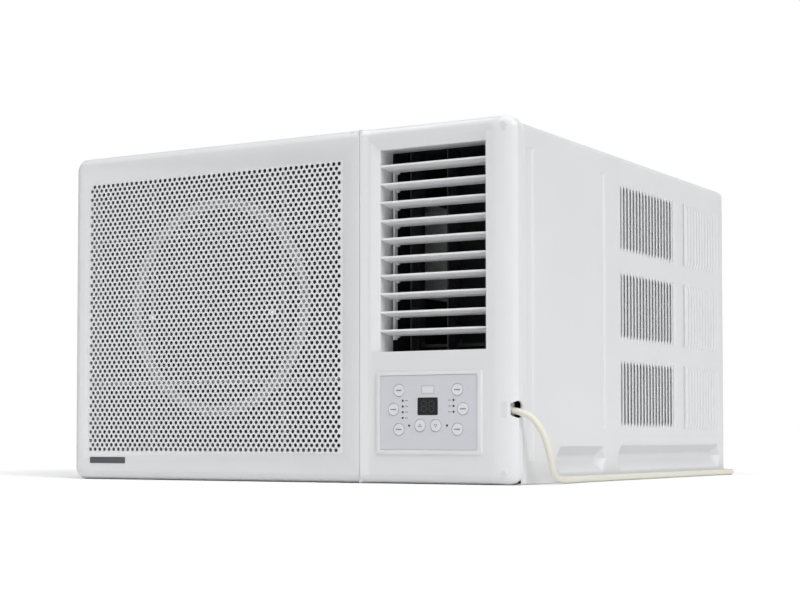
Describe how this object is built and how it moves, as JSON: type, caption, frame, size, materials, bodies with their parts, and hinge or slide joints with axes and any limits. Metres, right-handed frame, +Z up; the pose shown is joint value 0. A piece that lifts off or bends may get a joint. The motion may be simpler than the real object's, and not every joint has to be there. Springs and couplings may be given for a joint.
{
  "type": "window air conditioner",
  "caption": "Window room air conditioner with a perforated hinged inlet grille, bladed outlet, push-button panel and louvred steel cabinet.",
  "frame": {"origin": "centre of the footprint, at the underside of the base pan", "axes": "+X to the right seen from the room, +Y towards the outdoor end, +Z up"},
  "size_m": [0.694, 0.832, 0.428],
  "materials": {
    "panel_white": "fine satin",
    "overlay_grey": "satin",
    "button_grey": "satin",
    "print_grey": "gloss",
    "display_black": "gloss",
    "led_dark": "gloss",
    "cabinet_grey": "satin powder coat",
    "galvanised": "spangled zinc",
    "duct_black": "matte",
    "blade_white": "satin",
    "vane_black": "matte",
    "filter_grey": "matte",
    "mesh_grey": "woven net",
    "fin_aluminium": "bright",
    "copper": "bare copper",
    "fan_plastic": "matte",
    "shaft_steel": "ground",
    "motor_black": "satin",
    "foam_white": "expanded foam",
    "rubber_black": "matte",
    "board_green": "solder mask",
    "screw_zinc": "zinc",
    "cord_cream": "soft satin"
  },
  "bodies": {
    "chassis": {"base_pan": "galvanised", "cabinet": "cabinet_grey", "front_frame": "panel_white", "discharge_duct": "duct_black", "swing_motor": "motor_black", "control_bezel": "panel_white", "control_overlay": "overlay_grey", "display_window": "display_black", "led_lenses": "led_dark", "control_board": "board_green", "evaporator_fins": "fin_aluminium", "evaporator_tubes": "copper", "condenser_fins": "fin_aluminium", "condenser_tubes": "copper", "blower_housing": "galvanised", "fan_motor": "motor_black", "motor_bracket": "galvanised", "fan_shroud": "galvanised", "bulkhead": "galvanised", "compressor": "motor_black", "compressor_grommets": "rubber_black", "refrigerant_pipes": "copper", "drain_tray": "foam_white", "control_box": "galvanised", "screws": "screw_zinc", "power_cord": "cord_cream", "cord_coil": "cord_cream", "plug": "cord_cream"},
    "grille": {"grille_panel": "panel_white", "grille_screen": "panel_white", "grille_plugs": "panel_white", "badge": "print_grey"},
    "filter": {"filter_frame": "filter_grey", "filter_mesh": "mesh_grey"},
    "fan_rotor": {"fan_shaft": "shaft_steel", "blower_wheel": "fan_plastic", "condenser_fan": "fan_plastic"},
    "blade_1": {"louver_blade_1": "blade_white"},
    "blade_2": {"louver_blade_2": "blade_white"},
    "blade_3": {"louver_blade_3": "blade_white"},
    "blade_4": {"louver_blade_4": "blade_white"},
    "blade_5": {"louver_blade_5": "blade_white"},
    "blade_6": {"louver_blade_6": "blade_white"},
    "blade_7": {"louver_blade_7": "blade_white"},
    "blade_8": {"louver_blade_8": "blade_white"},
    "blade_9": {"louver_blade_9": "blade_white"},
    "blade_10": {"louver_blade_10": "blade_white"},
    "blade_link": {"louver_link": "blade_white"},
    "vane_1": {"vane_1": "vane_black"},
    "vane_2": {"vane_2": "vane_black"},
    "vane_3": {"vane_3": "vane_black"},
    "vane_link": {"vane_link": "vane_black"},
    "button_power": {"button_power": "button_grey"},
    "button_mode": {"button_mode": "button_grey"},
    "button_timer": {"button_timer": "button_grey"},
    "button_up": {"button_up": "button_grey"},
    "button_down": {"button_down": "button_grey"},
    "button_sleep": {"button_sleep": "button_grey"},
    "button_fan": {"button_fan": "button_grey"},
    "button_swing": {"button_swing": "button_grey"}
  },
  "joints": [
    {"name": "grille_open", "type": "hinge", "parent": "chassis", "child": "grille", "pos_m": [0, -0.3395, 0.425], "axis": [-1, 0, 0], "range_deg": [0, 55]},
    {"name": "filter_slide", "type": "slide", "parent": "chassis", "child": "filter", "axis": [-1, 0, 0], "range_m": [0, 0.38]},
    {"name": "fan_spin", "type": "hinge", "parent": "chassis", "child": "fan_rotor", "pos_m": [-0.1, 0, 0.215], "axis": [0, 1, 0], "continuous": true},
    {"name": "blade_1_tilt", "type": "hinge", "parent": "chassis", "child": "blade_1", "pos_m": [0.22075, -0.329, 0.3795], "axis": [1, 0, 0], "range_deg": [-20, 30]},
    {"name": "blade_2_tilt", "type": "hinge", "parent": "chassis", "child": "blade_2", "pos_m": [0.22075, -0.329, 0.3574], "axis": [1, 0, 0], "range_deg": [-20, 30]},
    {"name": "blade_3_tilt", "type": "hinge", "parent": "chassis", "child": "blade_3", "pos_m": [0.22075, -0.329, 0.3353], "axis": [1, 0, 0], "range_deg": [-20, 30]},
    {"name": "blade_4_tilt", "type": "hinge", "parent": "chassis", "child": "blade_4", "pos_m": [0.22075, -0.329, 0.3132], "axis": [1, 0, 0], "range_deg": [-20, 30]},
    {"name": "blade_5_tilt", "type": "hinge", "parent": "chassis", "child": "blade_5", "pos_m": [0.22075, -0.329, 0.2911], "axis": [1, 0, 0], "range_deg": [-20, 30]},
    {"name": "blade_6_tilt", "type": "hinge", "parent": "chassis", "child": "blade_6", "pos_m": [0.22075, -0.329, 0.269], "axis": [1, 0, 0], "range_deg": [-20, 30]},
    {"name": "blade_7_tilt", "type": "hinge", "parent": "chassis", "child": "blade_7", "pos_m": [0.22075, -0.329, 0.2469], "axis": [1, 0, 0], "range_deg": [-20, 30]},
    {"name": "blade_8_tilt", "type": "hinge", "parent": "chassis", "child": "blade_8", "pos_m": [0.22075, -0.329, 0.2248], "axis": [1, 0, 0], "range_deg": [-20, 30]},
    {"name": "blade_9_tilt", "type": "hinge", "parent": "chassis", "child": "blade_9", "pos_m": [0.22075, -0.329, 0.2027], "axis": [1, 0, 0], "range_deg": [-20, 30]},
    {"name": "blade_10_tilt", "type": "hinge", "parent": "chassis", "child": "blade_10", "pos_m": [0.22075, -0.329, 0.1806], "axis": [1, 0, 0], "range_deg": [-20, 30]},
    {"name": "blade_link_pin", "type": "hinge", "parent": "blade_1", "child": "blade_link", "pos_m": [0.1525, -0.31472, 0.37698], "axis": [1, 0, 0], "range_deg": [-30, 20]},
    {"name": "vane_1_turn", "type": "hinge", "parent": "chassis", "child": "vane_1", "pos_m": [0.16975, -0.29, 0.279], "axis": [0, 0, 1], "range_deg": [-30, 30]},
    {"name": "vane_2_turn", "type": "hinge", "parent": "chassis", "child": "vane_2", "pos_m": [0.22075, -0.29, 0.279], "axis": [0, 0, 1], "range_deg": [-30, 30]},
    {"name": "vane_3_turn", "type": "hinge", "parent": "chassis", "child": "vane_3", "pos_m": [0.27175, -0.29, 0.279], "axis": [0, 0, 1], "range_deg": [-30, 30]},
    {"name": "vane_link_pin", "type": "hinge", "parent": "vane_1", "child": "vane_link", "pos_m": [0.16975, -0.276, 0.16675], "axis": [0, 0, 1], "range_deg": [-30, 30]},
    {"name": "press_power", "type": "slide", "parent": "chassis", "child": "button_power", "axis": [0, 1, 0], "range_m": [0, 0.0008], "stiffness_N_per_m": 400},
    {"name": "press_mode", "type": "slide", "parent": "chassis", "child": "button_mode", "axis": [0, 1, 0], "range_m": [0, 0.0008], "stiffness_N_per_m": 400},
    {"name": "press_timer", "type": "slide", "parent": "chassis", "child": "button_timer", "axis": [0, 1, 0], "range_m": [0, 0.0008], "stiffness_N_per_m": 400},
    {"name": "press_up", "type": "slide", "parent": "chassis", "child": "button_up", "axis": [0, 1, 0], "range_m": [0, 0.0008], "stiffness_N_per_m": 400},
    {"name": "press_down", "type": "slide", "parent": "chassis", "child": "button_down", "axis": [0, 1, 0], "range_m": [0, 0.0008], "stiffness_N_per_m": 400},
    {"name": "press_sleep", "type": "slide", "parent": "chassis", "child": "button_sleep", "axis": [0, 1, 0], "range_m": [0, 0.0008], "stiffness_N_per_m": 400},
    {"name": "press_fan", "type": "slide", "parent": "chassis", "child": "button_fan", "axis": [0, 1, 0], "range_m": [0, 0.0008], "stiffness_N_per_m": 400},
    {"name": "press_swing", "type": "slide", "parent": "chassis", "child": "button_swing", "axis": [0, 1, 0], "range_m": [0, 0.0008], "stiffness_N_per_m": 400}
  ],
  "couplings": [
    {"joint": "blade_2_tilt", "follows": "blade_1_tilt", "ratio": 1},
    {"joint": "blade_3_tilt", "follows": "blade_1_tilt", "ratio": 1},
    {"joint": "blade_4_tilt", "follows": "blade_1_tilt", "ratio": 1},
    {"joint": "blade_5_tilt", "follows": "blade_1_tilt", "ratio": 1},
    {"joint": "blade_6_tilt", "follows": "blade_1_tilt", "ratio": 1},
    {"joint": "blade_7_tilt", "follows": "blade_1_tilt", "ratio": 1},
    {"joint": "blade_8_tilt", "follows": "blade_1_tilt", "ratio": 1},
    {"joint": "blade_9_tilt", "follows": "blade_1_tilt", "ratio": 1},
    {"joint": "blade_10_tilt", "follows": "blade_1_tilt", "ratio": 1},
    {"joint": "blade_link_pin", "follows": "blade_1_tilt", "ratio": -1},
    {"joint": "vane_2_turn", "follows": "vane_1_turn", "ratio": 1},
    {"joint": "vane_3_turn", "follows": "vane_1_turn", "ratio": 1},
    {"joint": "vane_link_pin", "follows": "vane_1_turn", "ratio": -1}
  ]
}
